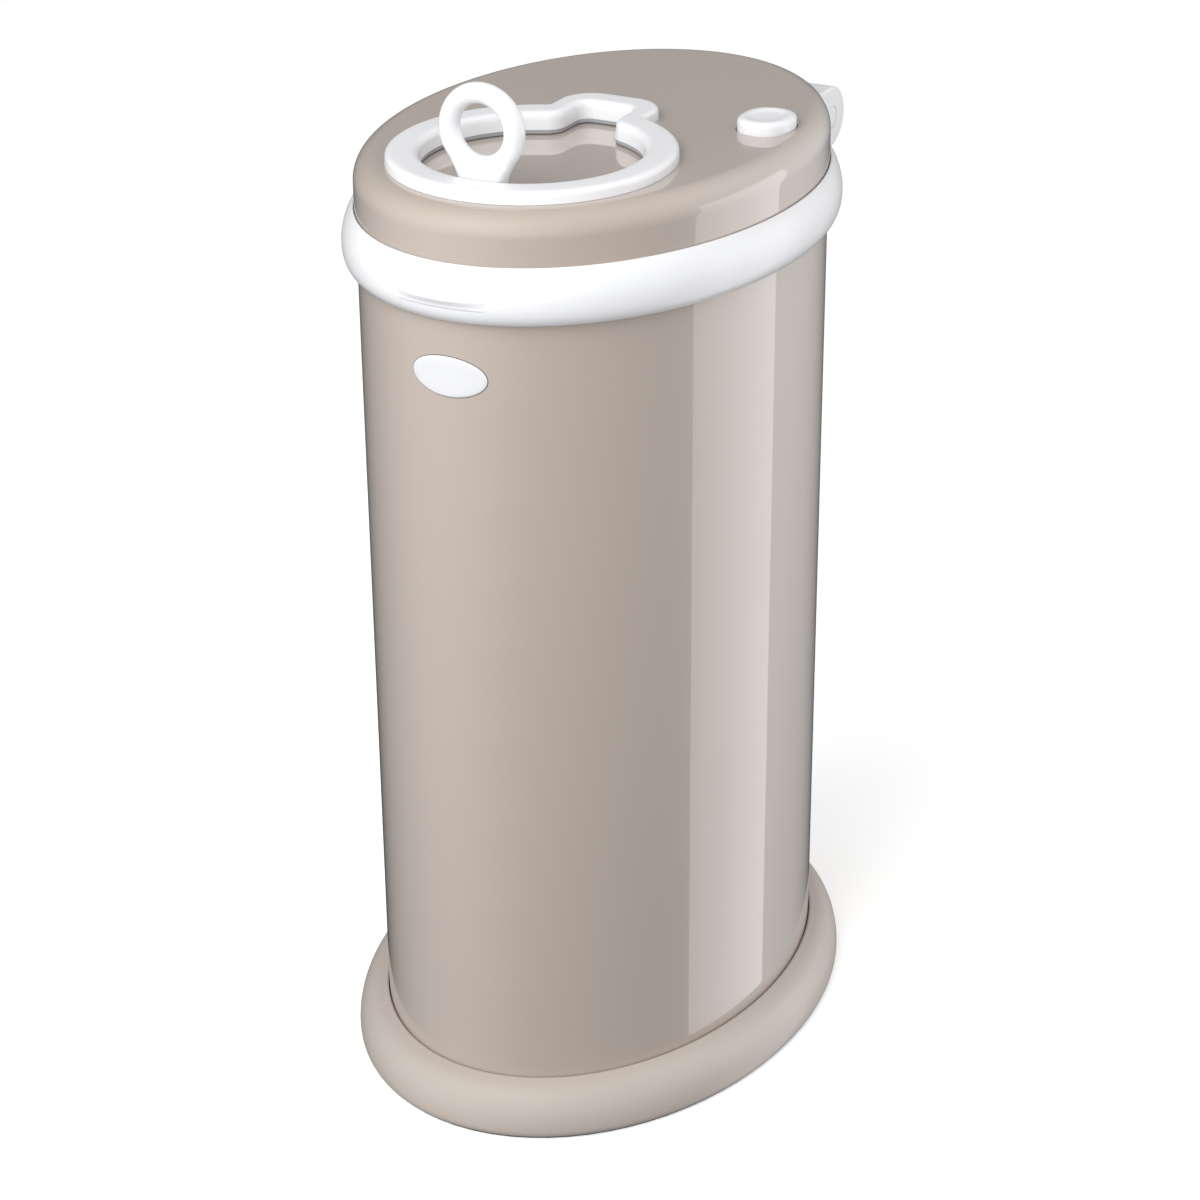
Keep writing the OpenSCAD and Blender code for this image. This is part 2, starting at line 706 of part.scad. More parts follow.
// The spring: a round wire of 6 sides carried up a helix.
module button_spring() color(steel) {
    steps = 12 * spring_turns;
    rise = button_foot - guide_top - wire_d - 0.2;
    ring = [for (j = [0 : steps]) let (a = 30 * j) [
        for (k = [0 : 5]) let (r = coil_r + wire_d / 2 * cos(60 * k))
            [button_x + r * cos(a), button_y + r * sin(a),
             guide_top + 0.1 + wire_d / 2 + rise * j / steps + wire_d / 2 * sin(60 * k)]
    ]];
    side = [
        for (j = [0 : steps - 1]) for (k = [0 : 5])
            let (a = 6 * j + k, b = 6 * j + (k + 1) % 6, c = a + 6, d = b + 6)
                each [[a, b, c], [b, d, c]]
    ];
    polyhedron(
        [for (r = ring) each r],
        concat(side, [[5, 4, 3, 2, 1, 0], [for (k = [0 : 5]) 6 * steps + k]])
    );
}

base_ring();
base_floor();
foot_ring();
base_screws();
body_shell();
label_plate();
top_collar();
bag_ring();
hinge_bracket();
hinge_screws();
hinge_pin();
lid_band();
lid_cap();
left_hinge_arm();
right_hinge_arm();
left_pin_cap();
right_pin_cap();
lid_seal();
lid_underside();
lid_screws();
aperture_rim();
aperture_gasket();
left_slide_rail();
right_slide_rail();
button_guide();
slide_skin();
slide_carrier();
ring_handle();
handle_screws();
lock_button();
lock_plunger();
button_spring();
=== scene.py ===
"""Nappy bin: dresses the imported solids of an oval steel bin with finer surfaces, procedural
finishes, a camera and soft lights. Each operator makes one group of pieces, and main() runs them
in order."""

import json
import math

import bpy
import numpy as np
from bpy.props import FloatProperty, FloatVectorProperty, IntProperty, PointerProperty
from mathutils import Matrix, Vector


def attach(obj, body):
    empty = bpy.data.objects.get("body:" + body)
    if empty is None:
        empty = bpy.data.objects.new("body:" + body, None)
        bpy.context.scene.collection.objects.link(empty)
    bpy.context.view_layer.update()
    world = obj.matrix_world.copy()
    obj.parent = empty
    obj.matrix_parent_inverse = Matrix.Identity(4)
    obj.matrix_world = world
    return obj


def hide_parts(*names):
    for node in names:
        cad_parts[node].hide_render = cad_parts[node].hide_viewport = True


bl_info = {
    "name": "Nappy Bin",
    "version": (1, 0, 0),
    "blender": (4, 5, 0),
    "location": "3D View > Sidebar > Nappy Bin",
    "description": "Dresses an oval nappy bin with its hinged lid, sliding shutter and lock button",
    "category": "Add Mesh",
}

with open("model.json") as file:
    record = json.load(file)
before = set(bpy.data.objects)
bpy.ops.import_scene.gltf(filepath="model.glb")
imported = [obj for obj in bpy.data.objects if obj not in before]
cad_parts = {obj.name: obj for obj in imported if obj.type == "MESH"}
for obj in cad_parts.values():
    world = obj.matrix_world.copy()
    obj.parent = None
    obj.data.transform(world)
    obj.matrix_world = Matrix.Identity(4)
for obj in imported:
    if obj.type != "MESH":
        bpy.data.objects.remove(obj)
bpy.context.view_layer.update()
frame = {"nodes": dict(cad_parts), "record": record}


# ---- sizes and colours that a user would change ----


def length(name, description, default):
    return FloatProperty(
        name=name, description=description, default=default, min=0.0, max=1.0, unit="LENGTH",
        subtype="DISTANCE",
    )


def colour(name, description, default):
    return FloatVectorProperty(
        name=name, description=description, default=default, min=0.0, max=1.0, size=3,
        subtype="COLOR",
    )


class BinSizes(bpy.types.PropertyGroup):
    """Sizes of the bin. Those of the lip, the ring and the button follow the photograph, and the
    others are those of the solids."""

    body_length: length("Body length", "Outside length of the oval body, front to back", 0.326)
    body_width: length("Body width", "Outside width of the oval body, side to side", 0.234)
    body_top: length("Body height", "Height of the body's top edge above the floor", 0.484)
    base_height: length("Base height", "Height of the moulded base", 0.031)
    base_out: length("Base flare", "How far the base stands out past the body", 0.0184)
    band_height: length("Band height", "Height of the lid's white band", 0.0309)
    band_out: length("Band bulge", "How far the band bulges past the body", 0.008)
    lip_width: length("Lip width", "Width of the finger lip", 0.0465)
    lip_out: length("Lip reach", "How far the finger lip stands out", 0.0021)
    cap_height: length("Cap height", "Height of the steel cap above the band", 0.029)
    cap_radius: length("Cap edge", "Radius of the cap's rounded edge", 0.0135)
    cap_lean: FloatProperty(
        name="Cap slope", description="Slope of the cap's top towards the front",
        default=math.radians(0.6), subtype="ANGLE",
    )
    mouth_radius: length("Mouth radius", "Radius of the round part of the mouth", 0.0585)
    mouth_forward: length("Mouth place", "Distance of the mouth in front of the middle", 0.072)
    notch_half: length("Notch half width", "Half the width of the notch behind the mouth", 0.016)
    notch_back: length("Notch reach", "How far the notch reaches behind the middle", 0.0135)
    rim_width: length("Rim width", "Width of the rim round the mouth", 0.018)
    rim_height: length("Rim height", "How far the rim stands above the cap", 0.0067)
    ring_diameter: length("Ring diameter", "Outside diameter of the ring handle", 0.0488)
    ring_thickness: length("Ring thickness", "Thickness of the ring, front to back", 0.0114)
    ring_width: length("Ring width", "Width of the ring seen from the front", 0.0110)
    stem_width: length("Stem width", "Width of the ring's stem", 0.026)
    button_width: length("Button width", "Width of the lock button, side to side", 0.030)
    button_length: length("Button length", "Length of the lock button, front to back", 0.035)
    button_height: length("Button height", "How far the button stands above the cap", 0.0068)
    sides: IntProperty(
        name="Smoothness", description="Points round each oval", default=288, min=64, max=720
    )


class BinFinishes(bpy.types.PropertyGroup):
    """Colours of the bin's finishes."""

    paint: colour("Paint", "Gloss paint of the body, cap and shutter", (0.43, 0.365, 0.318))
    base: colour("Base", "Satin moulded base", (0.46, 0.405, 0.362))
    white: colour("White", "White moulded plastic", (0.77, 0.775, 0.795))
    seal: colour("Seal", "Mid grey gasket of the mouth", (0.34, 0.345, 0.36))
    rubber: colour("Rubber", "Dark rubber of the foot and the lid's seal", (0.07, 0.07, 0.075))
    plastic: colour("Plastic", "Dark plastic of the lock's plunger", (0.12, 0.12, 0.125))
    steel: colour("Steel", "Bare steel of screws, pin and spring", (0.62, 0.62, 0.63))


# ---- levels and places, in metres ----

MM = 0.001

SEAT_Z = 0.008  # the body's lower edge, in the base's socket
FOOT_T = 0.0012  # the rubber foot's height below the base
BODY_WALL = 0.001  # thickness of the body's steel
LABEL_DOWN = 0.0303  # the label plate's middle, below the body's top
LID_GAP = 0.0005  # from the body's top up to the lid
LIP_UP = 0.0130  # the finger lip's middle, above the lid's lower edge
SHELF_DOWN = 0.0069  # the cap's seat, below the band's top
CAP_OUT = 0.0005  # the cap's side, out past the body
CAP_SHEET = 0.0008  # thickness of the cap's steel
CAP_CUT = 0.01  # how far the cutters reach above and below the cap's top
CAP_HOLE = 0.35  # the edge of its hole under the rim, as a share from the mouth to the rim's foot

MOUTH_STEP = 0.001  # the mouth's side arcs have their centre this far behind the front one's
NOTCH_FILLET = 0.011  # from the round mouth to the side of its notch
NOTCH_CORNER = 0.0075  # the notch's rear corners
RIM_SIDE = 0.013  # the rim's outer foot, out past the side of the notch
RIM_REAR = 0.0175  # the rim's outer foot, behind the notch
RIM_FILLET = 0.003  # the fillet and the rear corners of that outer foot
RIM_CORNER = 0.019
RIM_FORWARD = 0.0005  # the front of that outer foot, forward of an even width
RIM_DOWN = 0.0034  # the foot of the rim's wall, below the cap's top

SKIN_DOWN = 0.0075  # the solid shutter's top, below the wall's foot
SKIN_UP = 0.0050  # the painted pan's top, above the solid shutter's
RING_FORWARD = 0.1225  # the ring's middle, in front of the body's
RING_TOP = 0.597  # the ring's highest point
BUTTON_AT = (0.0866, 0.031)  # the button's middle, x and y
BUTTON_POWER = 0.87  # a superellipse, a little squarer than an ellipse
BUTTON_GAP = 0.0006  # between the button and its hole in the cap

HINGE_Y = 0.1755  # the hinge's axis
HINGE_Z = 0.509
HINGE_R = 0.0179  # the hinge barrel's radius
KNUCKLE_HALF = 0.0295  # half the length of the bin's fixed knuckle
KNUCKLE_GAP = 0.0005  # between the fixed knuckle and the lid
BARREL_HALF = 0.0615  # half the length of the whole barrel
RECESS_R = 0.0066  # the recess for a stopper in the barrel's end
RECESS_DEEP = 0.0045


class Levels:
    """Half sizes and heights worked out from the sizes: the lid's lower edge, the cap's seat
    (shelf) and top, the solid shutter's top (skin), and the slope of the cap's top."""

    def __init__(self, s):
        self.half_w = s.body_width / 2
        self.half_l = s.body_length / 2
        self.lid = s.body_top + LID_GAP
        band_top = self.lid + s.band_height
        self.shelf = band_top - SHELF_DOWN
        self.cap_top = band_top + s.cap_height
        self.skin = self.cap_top - RIM_DOWN - SKIN_DOWN
        self.slope = math.tan(s.cap_lean)


def sizes():
    return bpy.context.scene.bin_sizes


def finishes():
    return bpy.context.scene.bin_finishes


# ---- shapes ----


def circle(count):
    """Angles once round, without the end."""
    return np.linspace(0.0, 2 * np.pi, count, endpoint=False)


def oval_points(angles, offset):
    """Points of the body's oval, (a cos t, b sin t), plus offset times the unit normal along
    (b cos t, a sin t). angles and offset broadcast; the result has x and y in its last axis."""
    v = Levels(sizes())
    t, off = np.broadcast_arrays(np.asarray(angles, float), np.asarray(offset, float))
    nx, ny = v.half_l * np.cos(t), v.half_w * np.sin(t)
    size = np.hypot(nx, ny)
    x, y = v.half_w * np.cos(t) + off * nx / size, v.half_l * np.sin(t) + off * ny / size
    return np.stack([x, y], axis=-1)


def oval_sweep(profile):
    """A profile of (offset, height) carried round the oval: a grid of profile points by angles."""
    profile = np.asarray(profile, float)
    return rings(oval_points(circle(sizes().sides)[None, :], profile[:, :1]), profile[:, 1])


def oval_front(x):
    """How far the body's oval reaches in Y at each x: b sqrt(1 - (x / a)^2)."""
    v = Levels(sizes())
    return v.half_l * np.sqrt(1 - (x / v.half_w) ** 2)


def rounded(corners, radius, steps=5):
    """A closed outline with every corner rounded: each corner p becomes the quadratic curve
    (1-s)^2 a + 2 s (1-s) p + s^2 b, where a and b lie on its two sides, at the radius from p or at
    0.45 of the side if that is less. One more point beyond a and b keeps the sides straight."""
    p = np.asarray(corners, float)
    r = np.broadcast_to(np.asarray(radius, float), (len(p),))[:, None]

    def along(side, reach, most):
        size = np.linalg.norm(side, axis=1, keepdims=True)
        return p + side / size * np.minimum(reach, most * size)

    before, after = np.roll(p, 1, axis=0) - p, np.roll(p, -1, axis=0) - p
    a, b = along(before, r, 0.45)[:, None], along(after, r, 0.45)[:, None]
    hold_a, hold_b = along(before, 1.3 * r, 0.49)[:, None], along(after, 1.3 * r, 0.49)[:, None]
    s = np.linspace(0.0, 1.0, steps)[None, :, None]
    curve = (1 - s) ** 2 * a + 2 * s * (1 - s) * p[:, None] + s**2 * b
    return np.concatenate([hold_a, curve, hold_b], axis=1).reshape(-1, 2)


def through(points, per=5):
    """A smooth run through points: the Catmull-Rom cubic of each span, with end points repeated."""
    p = np.asarray(points, float)
    q = np.concatenate([p[:1], p, p[-1:]])
    a, b, c, d = (q[i : len(q) - 3 + i, None] for i in range(4))
    s = np.linspace(0.0, 1.0, per, endpoint=False)[None, :, None]
    bend, twist = 2 * a - 5 * b + 4 * c - d, 3 * b - a - 3 * c + d
    run = 0.5 * (2 * b + (c - a) * s + bend * s**2 + twist * s**3)
    return np.concatenate([run.reshape(-1, p.shape[1]), p[-1:]])


def arc(x, y, radius, start, end, count):
    """Points of a circle's arc between two angles in degrees."""
    t = np.radians(np.linspace(start, end, count))
    return np.stack([x + radius * np.cos(t), y + radius * np.sin(t)], axis=-1)


def line(start, end, count):
    """Points between two ends, without the ends."""
    s = np.linspace(0.0, 1.0, count + 2)[1:-1, None]
    return np.asarray(start) * (1 - s) + np.asarray(end) * s


def keyhole(radius, half, rear, fillet, corner, forward=0.0):
    """A round mouth with a notch behind it: a front quarter circle, a side arc that meets the
    fillet where the distance between both centres is radius plus fillet, the fillet, the notch's
    side and its rounded rear corner, then the same mirrored. The points run from the front to the
    right."""
    front = -sizes().mouth_forward
    centre = front + MOUTH_STEP
    fx = half + fillet
    fy = centre + math.sqrt((radius + fillet) ** 2 - fx**2)
    a = math.degrees(math.atan2(fy - centre, fx))
    turn = arc(half - corner, rear - corner, corner, 0, 90, 15)
    bend = arc(fx, fy, fillet, a + 180, 180, 13)[1:]
    side = np.concatenate([
        arc(0, front - forward, radius, -90, 0, 49), arc(0, centre, radius, 0, a, 31), bend,
        line(bend[-1], turn[0], 6), turn, line(turn[-1], (0, rear), 5), [[0, rear]],
    ])
    return np.concatenate([side, (side * (-1, 1))[-2:0:-1]])


def mouth_line(offset):
    """Outline of the mouth, grown by the offset."""
    s = sizes()
    return keyhole(
        s.mouth_radius + offset, s.notch_half + offset, s.notch_back + offset,
        max(0.001, NOTCH_FILLET - offset), NOTCH_CORNER + offset,
    )


def rim_line(share):
    """Outline between the mouth (share 0) and the rim's outer foot (share 1): a straight mix."""
    s = sizes()
    outer = keyhole(
        s.mouth_radius + s.rim_width, s.notch_half + RIM_SIDE, s.notch_back + RIM_REAR,
        RIM_FILLET, RIM_CORNER, RIM_FORWARD,
    )
    share = np.asarray(share, float)[..., None, None]
    return mouth_line(0.0) * (1 - share) + outer * share


def button_line(inset):
    """Outline of the button: a superellipse with its half sizes drawn in by the inset, and the same
    power on the cosine and the sine."""
    s = sizes()
    t = circle(120)
    c, d = np.cos(t), np.sin(t)
    inset = np.asarray(inset, float)[..., None]
    x = (s.button_width / 2 - inset) * np.sign(c) * np.abs(c) ** BUTTON_POWER
    y = (s.button_length / 2 - inset) * np.sign(d) * np.abs(d) ** BUTTON_POWER
    return np.stack([x, y], -1) + BUTTON_AT


def cap_rise(xy):
    """Height of the cap's top over its middle: the slope times y, less the drop r - sqrt(r^2 - d^2)
    of the rounded edge at the distance d outside the flat."""
    s = sizes()
    v = Levels(s)
    flat = np.array([v.half_w, v.half_l]) + CAP_OUT - s.cap_radius
    e = np.maximum(np.linalg.norm(xy / flat, axis=-1), 1.0)
    d = np.minimum(np.linalg.norm(xy, axis=-1) * (1 - 1 / e), s.cap_radius)
    return v.slope * xy[..., 1] - (s.cap_radius - np.sqrt(s.cap_radius**2 - d**2))


# ---- meshes ----


def add_piece(name, points, faces, sharp=35.0):
    """Makes a mesh object out of points and arrays of faces, and has the faces point outwards: they
    are turned round where the volume that they enclose, the sum of a . (b x c) / 6 over their
    triangles, comes out negative."""
    points = np.asarray(points, float).reshape(-1, 3)
    volume = 0.0
    for group in faces:
        a = points[group[:, 0]]
        for k in range(1, group.shape[1] - 1):
            b, c = points[group[:, k]], points[group[:, k + 1]]
            volume += np.einsum("ij,ij->", a, np.cross(b, c)) / 6
    if volume < 0:
        faces = [group[:, ::-1] for group in faces]
    mesh = bpy.data.meshes.new(name)
    mesh.from_pydata(points.tolist(), [], sum((group.tolist() for group in faces), []))
    mesh.validate()
    mesh.shade_smooth()
    mesh.set_sharp_from_angle(angle=math.radians(sharp))
    piece = bpy.data.objects.new(name, mesh)
    bpy.context.scene.collection.objects.link(piece)
    return piece


def grid_faces(rows, columns, wrap_rows, wrap_columns=True, start=0):
    """Four-sided faces of a grid of points, rows by columns, joined round where it wraps."""
    j = np.arange(rows if wrap_rows else rows - 1)[:, None]
    i = np.arange(columns if wrap_columns else columns - 1)[None, :]
    j2, i2 = (j + 1) % rows, (i + 1) % columns
    near, far = j * columns, j2 * columns
    return np.stack([near + i, near + i2, far + i2, far + i], -1).reshape(-1, 4) + start


def tube_piece(name, grid, sharp=35.0):
    """A grid closed both ways: a solid ring."""
    return add_piece(name, grid, [grid_faces(*grid.shape[:2], True)], sharp)


def stack_parts(grid):
    """Points and faces of rings joined in order, each end closed by a fan round its middle."""
    rows, columns = grid.shape[:2]
    points = np.concatenate([grid.reshape(-1, 3), grid[:1].mean(axis=1), grid[-1:].mean(axis=1)])
    i = np.arange(columns)
    k = (i + 1) % columns
    foot, head = np.full(columns, rows * columns), np.full(columns, rows * columns + 1)
    last = (rows - 1) * columns
    fans = np.concatenate([np.stack([k, i, foot], -1), np.stack([last + i, last + k, head], -1)])
    return points, [grid_faces(rows, columns, False), fans]


def stack_piece(name, grid, sharp=35.0):
    """A solid of rings joined in order."""
    return add_piece(name, *stack_parts(grid), sharp)


def rings(outlines, heights):
    """Outlines, one a row, laid at their heights; a height is one number or one for every point."""
    outlines = np.asarray(outlines, float)
    heights = np.asarray(heights, float)
    if heights.ndim == 1:
        heights = heights[:, None]
    z = np.broadcast_to(heights, outlines.shape[:2])
    return np.concatenate([outlines, z[..., None]], axis=-1)


def rod(name, radius, x0, x1):
    """A round cutter along the hinge's axis: a circle carried between two stations."""
    t = circle(96)
    ring = np.stack([0 * t, HINGE_Y + radius * np.cos(t), HINGE_Z + radius * np.sin(t)], -1)
    return stack_piece(name, np.stack([ring + (x0, 0, 0), ring + (x1, 0, 0)]))


def knuckle_room():
    """A cutter that leaves room for the bin's fixed knuckle."""
    half = KNUCKLE_HALF + KNUCKLE_GAP
    return rod("knuckle_room", HINGE_R + KNUCKLE_GAP, -half, half)


def bake(piece, sharp=35.0):
    """Applies the piece's modifiers to its mesh and marks its sharp edges."""
    graph = bpy.context.evaluated_depsgraph_get()
    mesh = bpy.data.meshes.new_from_object(piece.evaluated_get(graph))
    old = piece.data
    piece.modifiers.clear()
    piece.data = mesh
    bpy.data.meshes.remove(old)
    mesh.name = piece.name
    mesh.set_sharp_from_angle(angle=math.radians(sharp))


def cut_away(piece, cutters):
    """Takes the cutters' solids away from the piece, deletes them and hands the piece back."""
    for cutter in cutters:
        step = piece.modifiers.new("cut", "BOOLEAN")
        step.operation = "DIFFERENCE"
        step.solver = "EXACT"
        step.object = cutter
    bake(piece)
    for cutter in cutters:
        bpy.data.objects.remove(cutter)
    return piece


def dress(piece, body, slot, look, *nodes):
    """Gives a piece its body and its finish, and hides the nodes it stands for. The slot is not
    used.
    """
    piece.data.materials.clear()
    piece.data.materials.append(finish(look))
    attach(piece, body)
    if nodes:
        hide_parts(*nodes)


# ---- finishes ----


class Socket:
    """A node's output in a Python expression: each operator adds the Math node for it."""

    def __init__(self, nodes, output):
        self.nodes = nodes
        self.output = output

    def math(self, operation, *values):
        settings = {"operation": operation}
        return self.nodes.node("ShaderNodeMath", settings, dict(enumerate(values)))

    def __add__(self, other):
        return self.math("ADD", self, other)

    __radd__ = __add__

    def __sub__(self, other):
        return self.math("SUBTRACT", self, other)

    def __mul__(self, other):
        return self.math("MULTIPLY", self, other)

    def clamped(self):
        return self.math("MINIMUM", self.math("MAXIMUM", self, 0.0), 1.0)


class Nodes:
    """A node tree whose nodes are added with their settings and values."""

    def __init__(self, tree, shader):
        self.tree = tree
        self.shader = tree.nodes[shader]

    def node(self, kind, settings=None, values=None, output=0):
        """Adds a node of any kind: its settings first, then the values or links of its sockets."""
        node = self.tree.nodes.new(kind)
        for key, value in (settings or {}).items():
            setattr(node, key, value)
        for key, value in (values or {}).items():
            self.feed(node.inputs[key], value)
        return Socket(self, node.outputs[output])

    def feed(self, target, value):
        """Links a socket or sets its value; a colour of three numbers gets an alpha of 1."""
        if isinstance(value, Socket):
            self.tree.links.new(value.output, target)
        elif hasattr(value, "__len__") and len(value) == 3 and len(target.default_value) == 4:
            target.default_value = (*value, 1)
        else:
            target.default_value = value

    def set(self, **values):
        """Feeds the shader's own sockets, whose names have a space for each underscore."""
        for key, value in values.items():
            self.feed(self.shader.inputs[key.replace("_", " ")], value)


class Finish(Nodes):
    """One procedural material, whose shader's sockets take numbers or expressions."""

    def __init__(self, name):
        self.material = bpy.data.materials.new(name)
        self.material.use_nodes = True
        super().__init__(self.material.node_tree, "Principled BSDF")

    def noise(self, scale, detail=3.0, stretch=None):
        """Noise over the object's own coordinates, which are metres, from 0 to 1."""
        where = self.node("ShaderNodeTexCoord", output="Object")
        if stretch:
            where = self.node("ShaderNodeMapping", values={"Vector": where, "Scale": stretch})
        values = {"Vector": where, "Scale": scale, "Detail": detail}
        return self.node("ShaderNodeTexNoise", values=values)

    def mix(self, share, one, other):
        """A colour between two colours. Sockets 0, 6 and 7 are the factor and the two colours."""
        values = {0: share, 6: one, 7: other}
        return self.node("ShaderNodeMix", {"data_type": "RGBA"}, values, output=2)

    def bump(self, height, strength, distance):
        values = {"Strength": strength, "Distance": distance, "Height": height}
        return self.node("ShaderNodeBump", values=values)


def shade_of(rgb, factor):
    return tuple(min(1.0, c * factor) for c in rgb)


def gloss_paint(name, rgb, depth):
    """Gloss paint on pressed steel: a faint cloud in the colour, smudges in the gloss, orange peel.
    The depth of its gloss is the coat's refractive index."""
    f = Finish(name)
    f.set(Base_Color=f.mix(f.noise(9.0, 2.0), shade_of(rgb, 0.977), shade_of(rgb, 0.998)))
    f.set(Roughness=f.noise(22.0, 4.0) * 0.08 + 0.30)
    f.set(Coat_Weight=1.0, Coat_Roughness=0.03, Coat_IOR=depth)
    f.set(Normal=f.bump(f.noise(210.0, 1.0), 0.03, 0.0004))
    return f.material


def white_plastic(name, rgb, gloss=0.28):
    """Smooth white moulding: hardly any tone, a fine moulded grain, a slightly uneven gloss."""
    f = Finish(name)
    f.set(Base_Color=f.mix(f.noise(14.0, 2.0), shade_of(rgb, 0.985), shade_of(rgb, 1.01)))
    f.set(Roughness=f.noise(60.0, 3.0) * 0.07 + gloss, Coat_Weight=0.25, Coat_Roughness=0.12)
    f.set(Normal=f.bump(f.noise(1500.0, 2.0), 0.04, 0.0002))
    return f.material


def satin_moulding(name, rgb):
    """Satin moulding: an even colour, spark-eroded grain and a soft gloss."""
    f = Finish(name)
    grain = f.noise(1900.0, 2.0)
    tone = f.mix(f.noise(11.0, 3.0), shade_of(rgb, 0.965), shade_of(rgb, 1.03))
    f.set(Base_Color=f.mix((grain - 0.5) * 0.25 + 0.5, shade_of(rgb, 0.96), tone))
    f.set(Roughness=f.noise(35.0, 3.0) * 0.1 + 0.34, Coat_Weight=0.15, Coat_Roughness=0.2)
    f.set(Normal=f.bump(grain, 0.08, 0.0003))
    return f.material


def soft_rubber(name, rgb, roughness=0.62):
    """Rubber: a dull skin with a fine tooth and faint paler rubbing."""
    f = Finish(name)
    rub = f.noise(40.0, 4.0)
    f.set(Base_Color=f.mix(rub, shade_of(rgb, 0.9), shade_of(rgb, 1.15)))
    f.set(Roughness=rub * 0.15 + roughness, Normal=f.bump(f.noise(1200.0, 3.0), 0.15, 0.0003))
    return f.material


def bare_steel(name, rgb):
    """Bright steel with fine turning marks along X."""
    f = Finish(name)
    marks = f.noise(900.0, 3.0, (0.05, 1.0, 1.0))
    f.set(Base_Color=f.mix(marks, shade_of(rgb, 0.88), shade_of(rgb, 1.08)), Metallic=1.0)
    f.set(Roughness=marks * 0.18 + 0.24, Normal=f.bump(marks, 0.08, 0.0002))
    return f.material


def finish(name):
    """The material of that name, made once by its maker with the values that follow it."""
    if name in bpy.data.materials:
        return bpy.data.materials[name]
    c = finishes()
    maker, *values = {
        "gloss_paint": (gloss_paint, c.paint, 1.6),
        # The shutter's paint is the body's paint made 5% lighter, as painted light on the shaded
        # shutter, with a glossier coat.
        "shutter_paint": (gloss_paint, shade_of(c.paint, 1.05), 2.7),
        "satin_base": (satin_moulding, c.base),
        "white_gloss": (white_plastic, c.white),
        "white_satin": (white_plastic, shade_of(c.white, 0.97), 0.42),
        "label_white": (white_plastic, shade_of(c.white, 0.88), 0.35),
        "seal_grey": (soft_rubber, c.seal, 0.5),
        "dark_rubber": (soft_rubber, c.rubber),
        "dark_plastic": (satin_moulding, c.plastic),
        "bare_steel": (bare_steel, c.steel),
    }[name]
    return maker(name, *values)


# ---- operators; their profiles are (distance out past the body, height) in millimetres ----


class BIN_OT_base(bpy.types.Operator):
    """Makes the flared base, its profile a smooth run carried round the oval"""

    bl_idname = "bin.base"
    bl_label = "Base"

    def execute(self, context):
        s = context.scene.bin_sizes
        h, out = s.base_height / MM, s.base_out / MM
        seat, foot = SEAT_Z / MM, FOOT_T / MM
        skin = through([
            (0.45, h - 0.5), (0.7, h - 0.12), (1.2, h), (1.9, h - 0.05), (0.19 * out, h - 0.7),
            (0.39 * out, h - 2.2), (0.6 * out, h - 5), (0.78 * out, h - 9.4),
            (0.915 * out, h - 14.8), (0.985 * out, h - 20.6), (out, seat - 2),
            (out - 0.25, foot + 2.4), (out - 1.0, foot + 0.7), (out - 2.2, foot),
        ])
        inside = [
            (out - 6.4, foot), (out - 6.4, foot + 2.2), (out - 3, seat - 1.4),
            (0.985 * out - 2.5, h - 20.6), (0.915 * out - 2.8, h - 15.6),
            (0.78 * out - 2.5, h - 11.4), (0.6 * out - 2.1, h - 7.9), (0.39 * out - 1.4, h - 5),
            (2.8, h - 3.8), (2.8, seat - 2.5), (-16, seat - 2.5), (-16, seat),
            (-3.5, seat), (-3.5, seat + 12), (-1.3, seat + 12), (-1.3, seat), (0.3, seat),
        ]
        base = tube_piece("base_moulding", oval_sweep(np.concatenate([skin, inside]) * MM))
        dress(base, "bin", "base", "satin_base", "base_ring")
        return {"FINISHED"}


class BIN_OT_body(bpy.types.Operator):
    """Makes the painted steel tube with its rolled top edge"""

    bl_idname = "bin.body"
    bl_label = "Body"

    def execute(self, context):
        top = context.scene.bin_sizes.body_top
        corners = [(0, SEAT_Z), (0, top), (-BODY_WALL, top), (-BODY_WALL, SEAT_Z)]
        tube = tube_piece("body_tube", oval_sweep(rounded(corners, 0.4 * MM)))
        dress(tube, "bin", "paint", "gloss_paint", "body_shell")
        return {"FINISHED"}


class BIN_OT_label(bpy.types.Operator):
    """Makes the bare oval plate: a low dome on the body, with a thin dark ring behind its edge that
    is a painted shadow round the plate
    """

    bl_idname = "bin.label"
    bl_label = "Label plate"

    def plate(self, name, half_w, half_h, thickness):
        """Ellipses of growing share r of the plate, raised above the body by
        thickness (1 - r^10)^(1/3), then two smaller ones just under the body's surface."""
        share = np.concatenate([np.linspace(0.08, 0.8, 8), 1 - np.linspace(0.18, 0, 16) ** 1.3])
        rise = thickness * np.clip(1 - share**10, 0, 1) ** (1 / 3)
        share = np.concatenate([share, [0.97, 0.5]])[:, None]
        rise = np.concatenate([rise, [-0.1 * MM, -0.1 * MM]])[:, None] + 0.05 * MM
        t = circle(144)[None, :]
        x = half_w * share * np.cos(t)
        z = sizes().body_top - LABEL_DOWN + half_h * share * np.sin(t)
        return stack_piece(name, np.stack([x, -oval_front(x) - rise, z], -1), 50)

    def execute(self, context):
        face = self.plate("label_plate_face", 0.022, 0.011, 0.00085)
        dress(face, "bin", "white", "label_white", "label_plate")
        # A slightly larger, thinner dome in dark rubber behind the plate: a painted shadow round
        # its edge.
        edge = self.plate("label_plate_painted_shadow", 0.0223, 0.0113, 0.0003)
        dress(edge, "bin", "grey", "dark_rubber")
        return {"FINISHED"}


